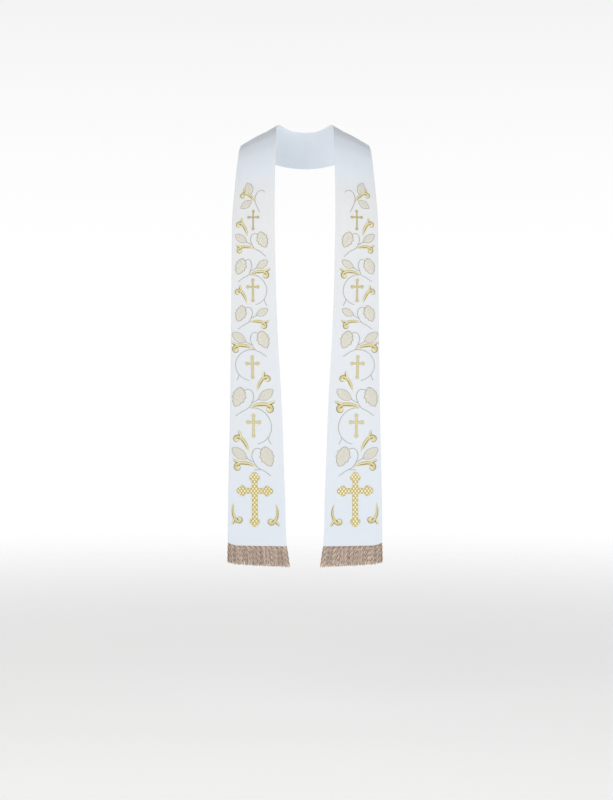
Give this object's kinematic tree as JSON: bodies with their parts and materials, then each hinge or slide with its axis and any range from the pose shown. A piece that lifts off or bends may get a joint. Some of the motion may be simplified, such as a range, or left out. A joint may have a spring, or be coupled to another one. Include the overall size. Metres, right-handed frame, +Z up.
{
  "type": "clerical stole",
  "caption": "Long open stole of stiff satin, shaped round the neck and hanging straight down the front, flared to fringed hems, with raised crosses and leaf scrolls.",
  "frame": {"origin": "the point on the nape of the neck where the neck edge rests at the centre back seam", "axes": "+Z up, the front faces -Y, +X is the wearer's left"},
  "size_m": [0.389, 0.2286, 1.128],
  "materials": {
    "satin": "stiff off-white satin, raised gold and beige thread work",
    "fringe_thread": "twisted beige-brown metallic thread"
  },
  "bodies": {
    "root": {"band_left": "satin", "band_right": "satin", "fringe_left": "fringe_thread", "fringe_right": "fringe_thread"}
  },
  "joints": []
}
